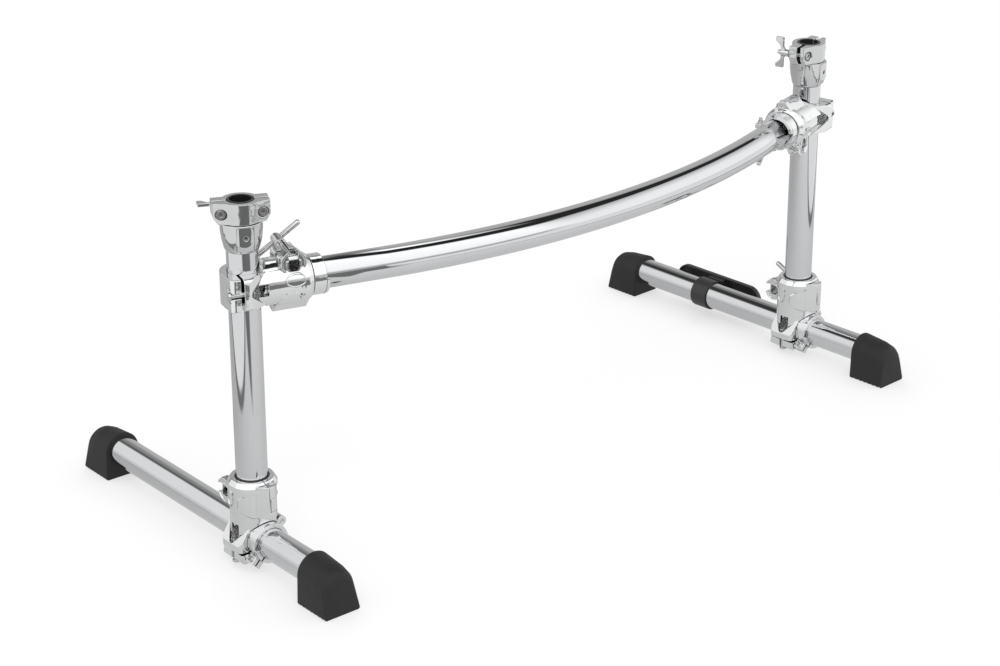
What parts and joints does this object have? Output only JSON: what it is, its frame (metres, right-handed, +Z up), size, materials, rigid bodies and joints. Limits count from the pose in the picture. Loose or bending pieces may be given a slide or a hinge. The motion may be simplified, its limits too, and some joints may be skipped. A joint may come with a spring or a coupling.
{
  "type": "drum rack frame",
  "caption": "Free-standing tube frame: a bowed cross tube hung between two uprights on rubber-footed base tubes, joined by hinged clamps with swing bolts, with clamping tube receivers on top.",
  "frame": {"origin": "on the floor, under the centre of the whole frame's bounding box", "axes": "+X from the left upright to the right one, +Y from the front (the side the cross tube bows to) to the back, +Z up"},
  "size_m": [1.044, 0.5295, 0.4683],
  "materials": {
    "chrome": "polished",
    "fastener_steel": "satin",
    "foot_rubber": "matte",
    "nylon": "satin",
    "clip_plastic": "matte"
  },
  "bodies": {
    "crossbar": {"curved_tube": "chrome", "left_bar_clamp_body": "chrome", "right_bar_clamp_body": "chrome", "left_bar_clamp_gate": "chrome", "right_bar_clamp_gate": "chrome", "left_bar_clamp_jaw": "chrome", "right_bar_clamp_jaw": "chrome", "left_bar_liner": "nylon", "right_bar_liner": "nylon", "bar_clamp_pins": "fastener_steel", "bar_jaw_bolts": "fastener_steel", "left_bar_lock": "chrome", "right_bar_lock": "chrome", "bar_lock_screws": "fastener_steel"},
    "left_bar_swing": {"left_bar_swing_bolt": "chrome"},
    "left_bar_handle": {"left_bar_t_handle": "chrome"},
    "left_upright_post": {"left_upright": "chrome"},
    "left_receiver": {"left_receiver_body": "chrome", "left_receiver_jaw": "chrome", "left_receiver_bushing": "nylon", "left_receiver_bolts": "fastener_steel", "left_set_screw": "fastener_steel"},
    "left_wing": {"left_wing_nut": "chrome"},
    "left_leg_clamp": {"left_leg_clamp_body": "chrome", "left_leg_clamp_gate": "chrome", "left_leg_clamp_jaw": "chrome", "left_leg_liner": "nylon", "left_leg_clamp_pins": "fastener_steel", "left_leg_jaw_bolt": "fastener_steel"},
    "left_leg_swing": {"left_leg_swing_bolt": "chrome"},
    "left_leg_handle": {"left_leg_t_handle": "chrome"},
    "left_base": {"left_base_tube": "chrome", "left_front_foot": "foot_rubber", "left_rear_foot": "foot_rubber", "left_base_lock": "chrome", "left_lock_screw": "fastener_steel"},
    "right_bar_swing": {"right_bar_swing_bolt": "chrome"},
    "right_bar_handle": {"right_bar_t_handle": "chrome"},
    "right_upright_post": {"right_upright": "chrome"},
    "right_receiver": {"right_receiver_body": "chrome", "right_receiver_jaw": "chrome", "right_receiver_bushing": "nylon", "right_receiver_bolts": "fastener_steel", "right_set_screw": "fastener_steel"},
    "right_wing": {"right_wing_nut": "chrome"},
    "right_leg_clamp": {"right_leg_clamp_body": "chrome", "right_leg_clamp_gate": "chrome", "right_leg_clamp_jaw": "chrome", "right_leg_liner": "nylon", "right_leg_clamp_pins": "fastener_steel", "right_leg_jaw_bolt": "fastener_steel"},
    "right_leg_swing": {"right_leg_swing_bolt": "chrome"},
    "right_leg_handle": {"right_leg_t_handle": "chrome"},
    "right_base": {"right_base_tube": "chrome", "right_front_foot": "foot_rubber", "right_rear_foot": "foot_rubber", "right_base_lock": "chrome", "right_lock_screw": "fastener_steel", "tube_clip": "clip_plastic"}
  },
  "joints": [
    {"name": "left_upright_slide", "type": "slide", "parent": "crossbar", "child": "left_upright_post", "axis": [0, 0, 1], "range_m": [0, 0.15]},
    {"name": "left_receiver_turn", "type": "hinge", "parent": "left_upright_post", "child": "left_receiver", "pos_m": [-0.483, -0.0885, 0.44], "axis": [0, 0, 1], "continuous": true},
    {"name": "left_wing_nut_turn", "type": "hinge", "parent": "left_receiver", "child": "left_wing", "pos_m": [-0.49835, -0.06575, 0.44675], "axis": [0.454, 0.891, 0], "continuous": true},
    {"name": "left_leg_swivel", "type": "hinge", "parent": "left_upright_post", "child": "left_leg_clamp", "pos_m": [-0.483, -0.0885, 0.09], "axis": [0, 0, 1], "continuous": true},
    {"name": "left_base_slide", "type": "slide", "parent": "left_leg_clamp", "child": "left_base", "axis": [0.0297, 0.9996, 0], "range_m": [-0.19, 0]},
    {"name": "left_bar_swing_bolt_pivot", "type": "hinge", "parent": "crossbar", "child": "left_bar_swing", "pos_m": [-0.43628, -0.11952, 0.3836], "axis": [0.9563, -0.2924, 0], "range_deg": [0, 60]},
    {"name": "left_bar_t_handle_turn", "type": "hinge", "parent": "left_bar_swing", "child": "left_bar_handle", "pos_m": [-0.42585, -0.08542, 0.38861], "axis": [0.2895, 0.947, 0.1392], "continuous": true},
    {"name": "left_leg_swing_bolt_pivot", "type": "hinge", "parent": "left_leg_clamp", "child": "left_leg_swing", "pos_m": [-0.49813, -0.05904, 0.09015], "axis": [0, 0, 1], "range_deg": [0, 95]},
    {"name": "left_leg_t_handle_turn", "type": "hinge", "parent": "left_leg_swing", "child": "left_leg_handle", "pos_m": [-0.46235, -0.05509, 0.09015], "axis": [0.994, 0.1097, 0], "continuous": true},
    {"name": "right_upright_slide", "type": "slide", "parent": "crossbar", "child": "right_upright_post", "axis": [0, 0, 1], "range_m": [0, 0.15]},
    {"name": "right_receiver_turn", "type": "hinge", "parent": "right_upright_post", "child": "right_receiver", "pos_m": [0.483, -0.0885, 0.44], "axis": [0, 0, 1], "continuous": true},
    {"name": "right_wing_nut_turn", "type": "hinge", "parent": "right_receiver", "child": "right_wing", "pos_m": [0.45649, -0.0814, 0.44675], "axis": [-0.2419, 0.9703, 0], "continuous": true},
    {"name": "right_leg_swivel", "type": "hinge", "parent": "right_upright_post", "child": "right_leg_clamp", "pos_m": [0.483, -0.0885, 0.09], "axis": [0, 0, 1], "continuous": true},
    {"name": "right_base_slide", "type": "slide", "parent": "right_leg_clamp", "child": "right_base", "axis": [-0.0297, 0.9996, 0], "range_m": [-0.05, 0]},
    {"name": "right_bar_swing_bolt_pivot", "type": "hinge", "parent": "crossbar", "child": "right_bar_swing", "pos_m": [0.43628, -0.11952, 0.3256], "axis": [-0.9563, -0.2924, 0], "range_deg": [0, 60]},
    {"name": "right_bar_t_handle_turn", "type": "hinge", "parent": "right_bar_swing", "child": "right_bar_handle", "pos_m": [0.42585, -0.08542, 0.32059], "axis": [-0.2895, 0.947, -0.1392], "continuous": true},
    {"name": "right_leg_swing_bolt_pivot", "type": "hinge", "parent": "right_leg_clamp", "child": "right_leg_swing", "pos_m": [0.46615, -0.05999, 0.09015], "axis": [0, 0, 1], "range_deg": [0, 95]},
    {"name": "right_leg_t_handle_turn", "type": "hinge", "parent": "right_leg_swing", "child": "right_leg_handle", "pos_m": [0.50163, -0.05392, 0.09015], "axis": [0.9857, 0.1685, 0], "continuous": true}
  ]
}
